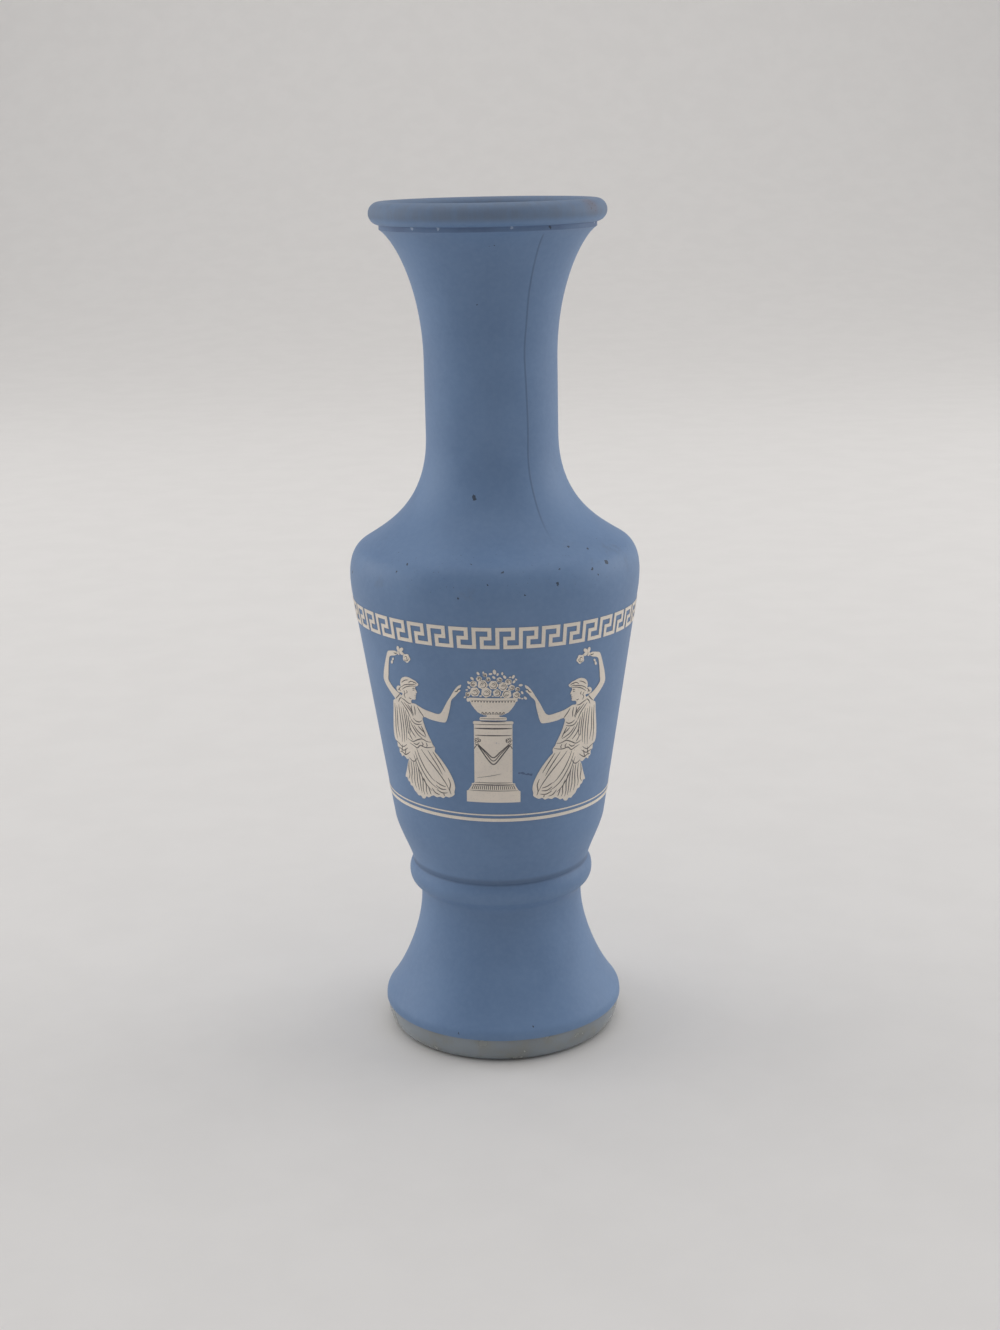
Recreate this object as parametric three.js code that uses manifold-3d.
// Bud vase: a moulded glass bottle under a satin blue coat, with a cream print of a key band,
// two kneeling maidens, a bowl of flowers on a plinth and two rules.
// Millimetres, +Z up. The vase stands on z = 0 and the middle of the print faces -Y.
import * as THREE from 'three';
import { mergeVertices } from 'three/addons/utils/BufferGeometryUtils.js';
import Module from 'manifold-3d';

const wasm = await Module();
wasm.setup();

const degrees = Math.PI / 180;

// Coat, wall and print
const COAT = 0.25;
const WALL = 2.8;
const PRINT = 0.2;
const PRINT_LIFT = 0.02;

// Foot: a flat stand ring round a push-up, a round heel and a concave sweep up to the waist
const STAND_RADIUS = 24.6;
const STAND_WIDTH = 1.9;
const PUSH_UP = 3;
const FLOOR = 8;
const FOOT_RADIUS = 27.8;
const HEEL_WALL = 6.5;
const BARE_HEEL = 6;
const FOOT_EDGE = 3.1;
const FOOT_EDGE_DROP = 1.2;
const SWEEP = 23;
const WAIST_RADIUS = 18.7;

// Ring bead above the waist
const RING_NECK = 3;
const RING_FOOT_RADIUS = 20;
const RING_TALL = 5.3;
const RING_BULGE = 1.6;
const RING_TOP_RADIUS = 20.4;
const GROOVE = 0.6;

// Bowl: a round bottom, a straight taper and a round shoulder
const BOWL_BOTTOM = 10.7;
const TAPER = 53.1;
const TAPER_LOW_RADIUS = 24.22;
const TAPER_HIGH_RADIUS = 32.24;
const SHOULDER_TURN = 11.2;
const SHOULDER_IN = 2.54;
const SHOULDER_FALL = 23.7;

// Neck, flare and rim
const NECK_RADIUS = 14.66;
const NECK = 16.3;
const FLARE = 28.13;
const FLARE_RADIUS = 23.4;
const STEP = 1;
const STEP_OUT = 0.1;
const BEAD_RADIUS = 2.44;
const BEAD_SET_IN = 0.14;

// Key band and rules, measured up from the foot of the taper
const KEY_COUNT = 40;
const KEY_TURN = -0.34 * degrees;
const BAND_UP = 46.85;
const KEY_STROKE = 0.8;
const KEY_GAP = 1.2;
const LOWER_RULE_UP = 5.9;
const LOWER_RULE_TALL = 0.75;
const UPPER_RULE_UP = 7.33;
const UPPER_RULE_TALL = 0.31;

// Scene print
const SCENE_TURN = -2.15 * degrees;
const SCENE_UP = 10.6;
const SCENE_MIDDLE = 17.7;
const PRINT_LEAN = Math.tan(1.15 * degrees);

const FACETS = KEY_COUNT;

const footTop = BARE_HEEL + FOOT_EDGE;
const waist = footTop + SWEEP;
const ringFoot = waist + RING_NECK;
const ringTop = ringFoot + RING_TALL;
const bowlFoot = ringTop + GROOVE;
const taperFoot = bowlFoot + BOWL_BOTTOM;
const taperTop = taperFoot + TAPER;
const shoulderTop = taperTop + SHOULDER_TURN;
const neckFoot = shoulderTop + SHOULDER_FALL;
const neckTop = neckFoot + NECK;
const flareTop = neckTop + FLARE;
const stepTop = flareTop + STEP;
const shoulderRadius = TAPER_HIGH_RADIUS - SHOULDER_IN;
const stepRadius = FLARE_RADIUS + STEP_OUT;
const beadCentreRadius = FLARE_RADIUS - BEAD_SET_IN;
const sceneFoot = taperFoot + SCENE_UP;

const at = (radius, height) => new THREE.Vector2(radius, height);

// Handles of this share of a corner's size make a curve that is a quarter of an ellipse
const ROUND = 0.5523;

// A curve that leaves and arrives along the two given handles
function bend(from, leave, arrive, to, steps) {
  const curve = new THREE.CubicBezierCurve(from, from.clone().add(leave), to.clone().sub(arrive), to);
  return curve.getPoints(steps);
}

function arc(centre, radius, startAngle, endAngle, steps) {
  const clockwise = endAngle < startAngle;
  const curve = new THREE.EllipseCurve(
    centre.x, centre.y, radius, radius, startAngle * degrees, endAngle * degrees, clockwise);
  return curve.getPoints(steps);
}

// Joins runs of points and drops a point that repeats the one before it
function chain(...runs) {
  const points = [];
  for (const point of runs.flat()) {
    const last = points[points.length - 1];
    if (!last || last.distanceTo(point) > 1e-6) {
      points.push(point);
    }
  }
  return points;
}

// Moves an open outline sideways by a distance, to the left of its direction of travel
function inset(points, distance) {
  const side = (a, b) => at(a.y - b.y, b.x - a.x).normalize();
  return points.map((point, i) => {
    const before = i > 0 ? side(points[i - 1], point) : side(point, points[1]);
    const after = i < points.length - 1 ? side(point, points[i + 1]) : before;
    const mitre = before.clone().add(after).normalize();
    return point.clone().addScaledVector(mitre, distance / mitre.dot(after));
  });
}

// Outline of the coat's outer face, from the edge above the bare heel over the rim's bead
const coatEdge = at(FOOT_RADIUS, BARE_HEEL);
const sweepTop = at(FOOT_RADIUS - FOOT_EDGE_DROP, footTop);
const waistPoint = at(WAIST_RADIUS, waist);
const ringLow = at(RING_FOOT_RADIUS, ringFoot);
const ringHigh = at(RING_TOP_RADIUS, ringTop);
const bowlLow = at(RING_TOP_RADIUS + 0.05, bowlFoot);
const taperLow = at(TAPER_LOW_RADIUS, taperFoot);
const taperHigh = at(TAPER_HIGH_RADIUS, taperTop);
const shoulderPoint = at(shoulderRadius, shoulderTop);
const neckLow = at(NECK_RADIUS, neckFoot);
const neckHigh = at(NECK_RADIUS, neckTop);
const flarePoint = at(FLARE_RADIUS, flareTop);
const stepLow = at(stepRadius, flareTop + STEP_OUT / 2);
const beadFootAngle = -Math.acos((stepRadius - beadCentreRadius) / BEAD_RADIUS) / degrees;
const beadCentre = at(beadCentreRadius, stepTop - BEAD_RADIUS * Math.sin(beadFootAngle * degrees));

const coatFace = chain(
  bend(coatEdge, at(0, 1.6), at(-0.9, 1.2), sweepTop, 3),
  bend(sweepTop, at(-3.7, 5.1), at(0, 8.1), waistPoint, 4),
  bend(waistPoint, at(0, 1), at(1.1, 0.9), ringLow, 2),
  bend(ringLow, at(RING_BULGE, 1.1), at(-RING_BULGE + 0.3, 1.2), ringHigh, 3),
  bend(bowlLow, at(0.2, 2.2), at(0.9, 3.8), taperLow, 3),
  taperHigh,
  bend(taperHigh, at(0.7, 4.8), at(-3, 1.9), shoulderPoint, 3),
  bend(shoulderPoint, at(-6.3, 3.9), at(0, 14.7), neckLow, 5),
  neckHigh,
  bend(neckHigh, at(0, 15), at(3.5, 2.5), flarePoint, 4),
  stepLow,
  arc(beadCentre, BEAD_RADIUS, beadFootAngle, 180, 8),
);
const coatBack = inset(coatFace, COAT);

// Outline of the inside, from the coat's end inside the rim down to the floor
const bore = NECK_RADIUS - WALL;
const lipPoint = at(beadCentreRadius - BEAD_RADIUS, beadCentre.y);
const innerWaist = at(WAIST_RADIUS - WALL, waist);
const innerTaperLow = at(TAPER_LOW_RADIUS - WALL, taperFoot);
const innerTaperHigh = at(TAPER_HIGH_RADIUS - WALL, taperTop);
const innerShoulder = at(shoulderRadius - WALL, shoulderTop - WALL);
const innerCorner = at(FOOT_RADIUS - HEEL_WALL, FLOOR + WALL);
const insideFace = chain(
  bend(lipPoint, at(-2.9, -5), at(0, -15), at(bore, neckTop), 3),
  bend(at(bore, neckFoot), at(0, -15), at(6, -3.8), innerShoulder, 3),
  bend(innerShoulder, at(1.9, -1.3), at(-0.3, -3.7), innerTaperHigh, 2),
  bend(innerTaperLow, at(-2.6, -6.2), at(-0.2, -8), innerWaist, 3),
  bend(innerWaist, at(0, -8), at(1.6, -3), innerCorner, 3),
  at(innerCorner.x - WALL, FLOOR),
  at(0, FLOOR),
);

// The bare heel turns up from the stand ring to the coat's edge
const heelTurn = FOOT_RADIUS - COAT - STAND_RADIUS;
const bareHeel = bend(
  at(STAND_RADIUS, 0), at(heelTurn * ROUND, 0), at(0, BARE_HEEL * ROUND), at(FOOT_RADIUS - COAT, BARE_HEEL), 4);
const glassOutline = chain(
  at(0, PUSH_UP),
  at(STAND_RADIUS - STAND_WIDTH - PUSH_UP, PUSH_UP * 0.8),
  at(STAND_RADIUS - STAND_WIDTH, 0),
  bareHeel.slice(0, -1),
  coatBack,
  insideFace,
);
const coatOutline = chain(coatFace, coatBack.toReversed(), coatFace[0]);

// Turns an outline about the vase's axis, one facet for each key of the band
function turned(outline) {
  const geometry = new THREE.LatheGeometry(outline, FACETS, KEY_TURN, 2 * Math.PI);
  return geometry.rotateX(Math.PI / 2);
}

// The shared solid form of a closed geometry, for joining and cutting
function solidOf(geometry) {
  const bare = geometry.clone();
  bare.deleteAttribute('normal');
  bare.deleteAttribute('uv');
  const merged = mergeVertices(bare, 1e-4);
  const corners = merged.index.array;
  const triangles = [];
  for (let i = 0; i < corners.length; i += 3) {
    const [a, b, c] = corners.slice(i, i + 3);
    if (a !== b && b !== c && c !== a) {
      triangles.push(a, b, c);
    }
  }
  const vertProperties = new Float32Array(merged.attributes.position.array);
  return new wasm.Manifold(new wasm.Mesh({ numProp: 3, vertProperties, triVerts: new Uint32Array(triangles) }));
}

function geometryOf(solid) {
  const mesh = solid.getMesh();
  const geometry = new THREE.BufferGeometry();
  geometry.setAttribute('position', new THREE.BufferAttribute(mesh.vertProperties, 3));
  geometry.setIndex(new THREE.BufferAttribute(mesh.triVerts, 1));
  geometry.computeVertexNormals();
  return geometry;
}

// The coat's radius on the straight taper, which carries the whole print
const taperRadius = (height) =>
  TAPER_LOW_RADIUS + ((height - taperFoot) * (TAPER_HIGH_RADIUS - TAPER_LOW_RADIUS)) / TAPER;

// Leans a print by a small slope across the vase, and keeps each point on its facet of the taper
function leaned(geometry) {
  const place = geometry.attributes.position;
  for (let i = 0; i < place.count; i += 1) {
    const x = place.getX(i);
    const height = place.getZ(i) - x * PRINT_LEAN;
    const share = taperRadius(height) / taperRadius(place.getZ(i));
    place.setXYZ(i, x * share, place.getY(i) * share, height);
  }
  geometry.computeVertexNormals();
  return geometry;
}

// A skin of ink round the taper, between two heights
function inkRing(low, high) {
  const inner = [at(taperRadius(low) + PRINT_LIFT, low), at(taperRadius(high) + PRINT_LIFT, high)];
  const outer = inner.map((point) => at(point.x + PRINT, point.y));
  return turned([inner[0], outer[0], outer[1], inner[1], inner[0]]);
}

function rule(up, tall) {
  return leaned(inkRing(taperFoot + up, taperFoot + up + tall));
}

// A block with the given outline in x and z, reaching forwards from the axis
function block(shape) {
  const depth = TAPER_HIGH_RADIUS * 2;
  return new THREE.ExtrudeGeometry(shape, { depth, bevelEnabled: false, curveSegments: 4 }).rotateX(Math.PI / 2);
}

// One key of the band, from the left edge of its upright to inside the next upright
function keyBlock() {
  const pitch = (taperRadius(taperFoot + BAND_UP) * 2 * Math.PI) / KEY_COUNT;
  const unit = pitch / 6;
  const row = KEY_STROKE + KEY_GAP;
  const low = 0;
  const top = row * 2 + KEY_STROKE;
  const outline = [
    [0, low], [1, low], [1, row * 2], [4, row * 2], [4, row + KEY_STROKE], [2, row + KEY_STROKE],
    [2, low], [6.4, low], [6.4, KEY_STROKE], [3, KEY_STROKE], [3, row], [5, row], [5, top], [0, top],
  ];
  const middle = 3;
  const points = outline.map(([x, z]) => at((x - middle) * unit, z + taperFoot + BAND_UP));
  return solidOf(block(new THREE.Shape(points)));
}

function keyBand() {
  const bandFoot = taperFoot + BAND_UP;
  const bandTop = bandFoot + 3 * KEY_STROKE + 2 * KEY_GAP;
  const key = keyBlock();
  const pitch = 360 / KEY_COUNT;
  let keys = null;
  for (let i = 0; i < KEY_COUNT; i += 1) {
    const turnedKey = key.rotate([0, 0, KEY_TURN / degrees + (i + 0.5) * pitch]);
    keys = keys ? keys.add(turnedKey) : turnedKey;
  }
  return leaned(geometryOf(solidOf(inkRing(bandFoot, bandTop)).intersect(keys)));
}

// Drawn points are millimetres along the surface from the middle of the scene, and up from its foot
function wrapped(points, side = 1) {
  const onVase = points.map(([along, up]) => {
    const height = sceneFoot + up;
    const radius = taperRadius(height);
    const slant = (up - SCENE_MIDDLE) * PRINT_LEAN;
    return at(radius * Math.sin(SCENE_TURN + (side * along + slant) / radius), height);
  });
  return new THREE.Shape(side < 0 ? onVase.reverse() : onVase);
}

const sceneTop = taperFoot + BAND_UP - KEY_STROKE / 2;

function printed(solid) {
  return leaned(geometryOf(solidOf(inkRing(sceneFoot - 2, sceneTop)).intersect(solid)));
}

// A kneeling maiden seen from the side: one arm is raised behind her, the other reaches forward
const maidenOutline = [
  [-23.9, 33.3], [-25.9, 32.8], [-26.8, 31.1], [-28.2, 27], [-28.3, 25.7], [-27.4, 24.4],
  [-25.3, 22.7], [-25.2, 19.5], [-25.9, 15], [-25.8, 11.8], [-24.9, 10.8], [-24.4, 8.8],
  [-23.6, 7.7], [-20.8, 7.7], [-21.8, 5.4], [-22.6, 2.9], [-21.4, 1.8], [-19.8, 0.1],
  [-17.3, -1.2], [-16, -0.4], [-13.8, 0], [-11.6, 0], [-9.1, 0.9], [-8.6, 3], [-9.3, 5.6],
  [-11.4, 8.9], [-13.4, 11.1], [-13.6, 12.4], [-15, 14.9], [-16.1, 17.8], [-16, 19.1],
  [-13.2, 18.5], [-10.5, 18.5], [-9.8, 20.8], [-9.1, 24.1], [-6.9, 26.4], [-6.9, 27.8],
  [-8.4, 26.2], [-10.2, 23.5], [-11.6, 20.6], [-14.3, 20.6], [-17.6, 21.3], [-19.4, 21.7],
  [-19.2, 22.6], [-18.1, 22.8], [-17.9, 23.7], [-17.5, 24.2], [-17.9, 25.1], [-17.4, 26.6],
  [-18.8, 27.6], [-20.8, 27.7], [-22.3, 26.3], [-22.4, 25.2], [-23.6, 24.5], [-23.1, 23.7],
  [-22.1, 23.6], [-22.3, 23.2], [-24, 23.9], [-26.4, 25.9], [-25.9, 29.6], [-25.3, 31.6],
  [-23.4, 32.3],
];

const sprigOutline = [
  [-22.9, 33.4], [-22.6, 32.8], [-21.9, 33.1], [-21.4, 32.5], [-20.9, 32.9], [-21.2, 31.9], [-20.6, 31.2],
  [-19.6, 31.3], [-18.9, 32.1], [-19.4, 33], [-20.6, 33.2], [-21, 33.6], [-20.9, 34.3], [-21.6, 34.4],
  [-22.1, 33.9], [-22.6, 34.5], [-23.1, 34.2],
];

// Half outlines run up the right side, and are mirrored for the left
function mirrored(half) {
  return [...half, ...half.map(([along, up]) => [-along, up]).reverse()];
}

const plinthHalf = [
  [5.9, 0], [5.9, 2.7], [5.4, 2.9], [4.7, 4.2], [4.7, 4.6], [4.15, 4.8], [4.15, 18.9], [4.35, 19],
  [4.35, 19.3], [2.9, 19.5],
];
const bowlHalf = [
  [2.6, 19.8], [2.9, 20.3], [1.7, 20.6], [3.4, 21.1], [3.9, 21.9], [4.7, 23.4], [5, 24], [5.3, 24.3],
  [5.2, 24.9], [5.3, 26.8], [4.4, 29.2], [2.4, 30.4], [0.5, 30.6],
];

// Roses as along, up and radius
const roses = [
  [-3.9, 26.3, 1.1], [-1.4, 26.2, 1.1], [0.8, 26.1, 0.9], [3.0, 25.9, 1.1], [5.1, 25.6, 0.9],
  [-5.4, 25.7, 0.6], [-4.1, 28.1, 0.8], [-2.2, 28.1, 1], [0.1, 28, 1], [2.2, 27.6, 1], [4, 27.3, 0.8],
  [5.3, 27, 0.6], [-2.9, 29.3, 0.7], [1.4, 29.2, 0.7], [3.3, 28.7, 0.8], [-1.6, 30.2, 0.6], [0.4, 31, 0.6],
];

function roseBlock([along, up, radius]) {
  const sides = 7;
  const rim = [];
  for (let i = 0; i < sides; i += 1) {
    const angle = (i * 2 * Math.PI) / sides;
    rim.push([along + radius * Math.cos(angle), up + radius * Math.sin(angle)]);
  }
  return solidOf(block(wrapped(rim)));
}

function flowerBowl() {
  let solid = solidOf(block(wrapped(mirrored(bowlHalf))));
  for (const rose of roses) {
    solid = solid.add(roseBlock(rose));
  }
  return printed(solid);
}

const glass = new THREE.MeshStandardMaterial({ color: 0x62676d, roughness: 0.12, metalness: 0 });
const satinBlue = new THREE.MeshStandardMaterial({ color: 0x5f7898, roughness: 0.45, metalness: 0 });
const creamInk = new THREE.MeshStandardMaterial({ color: 0xc9c4ba, roughness: 0.6, metalness: 0 });

const vase = new THREE.Group();

function piece(name, geometry, material) {
  const mesh = new THREE.Mesh(geometry, material);
  mesh.name = name;
  vase.add(mesh);
}

piece('glass_vessel', turned(glassOutline), glass);
piece('blue_coat', turned(coatOutline), satinBlue);
piece('key_band', keyBand(), creamInk);
piece('maiden_left', printed(solidOf(block(wrapped(maidenOutline)))), creamInk);
piece('maiden_right', printed(solidOf(block(wrapped(maidenOutline, -1)))), creamInk);
piece('sprig_left', printed(solidOf(block(wrapped(sprigOutline)))), creamInk);
piece('sprig_right', printed(solidOf(block(wrapped(sprigOutline, -1)))), creamInk);
piece('flower_bowl', flowerBowl(), creamInk);
piece('plinth', printed(solidOf(block(wrapped(mirrored(plinthHalf))))), creamInk);
piece('rule_lower', rule(LOWER_RULE_UP, LOWER_RULE_TALL), creamInk);
piece('rule_upper', rule(UPPER_RULE_UP, UPPER_RULE_TALL), creamInk);

export default vase;
